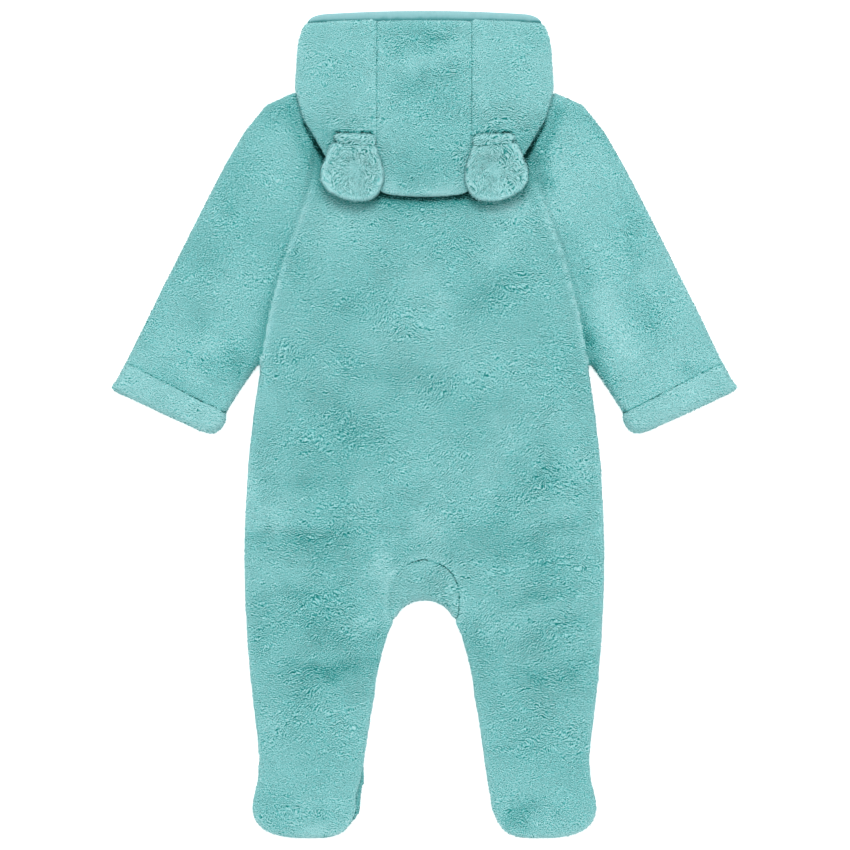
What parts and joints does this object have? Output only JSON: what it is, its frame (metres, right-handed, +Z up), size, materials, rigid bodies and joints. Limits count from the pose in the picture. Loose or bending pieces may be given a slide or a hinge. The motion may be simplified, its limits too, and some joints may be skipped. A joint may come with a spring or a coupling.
{
  "type": "hooded footed baby snowsuit",
  "caption": "Hooded, footed baby snowsuit in plush fleece with bear ears and turned-back cuffs, laid flat on its front so that its back shows.",
  "frame": {"origin": "centre of the suit's outline, on the surface that it lies on", "axes": "+Z up, out of the suit's back; +Y from the feet to the hood; +X to the wearer's right"},
  "size_m": [0.5, 0.66, 0.0387],
  "materials": {
    "plush": "short dense plush pile",
    "ear_plush": "longer ruffled plush pile",
    "jersey": "smooth knitted jersey",
    "zip_tape": "woven tape and moulded chain",
    "zip_metal": "satin enamel"
  },
  "bodies": {
    "root": {"back_panel": "plush", "crotch_gusset": "plush", "front_left": "plush", "front_right": "plush", "sleeve_left": "plush", "sleeve_right": "plush", "cuff_left": "plush", "cuff_right": "plush", "hood_centre": "plush", "hood_side_left": "plush", "hood_side_right": "plush", "hood_folded_layers": "plush", "hood_edge": "jersey", "ear_left": "ear_plush", "ear_right": "ear_plush", "ear_base_left": "ear_plush", "ear_base_right": "ear_plush", "zip_tape": "zip_tape", "zip_chain": "zip_tape", "zip_slider": "zip_metal", "zip_pull": "zip_tape"}
  },
  "joints": []
}
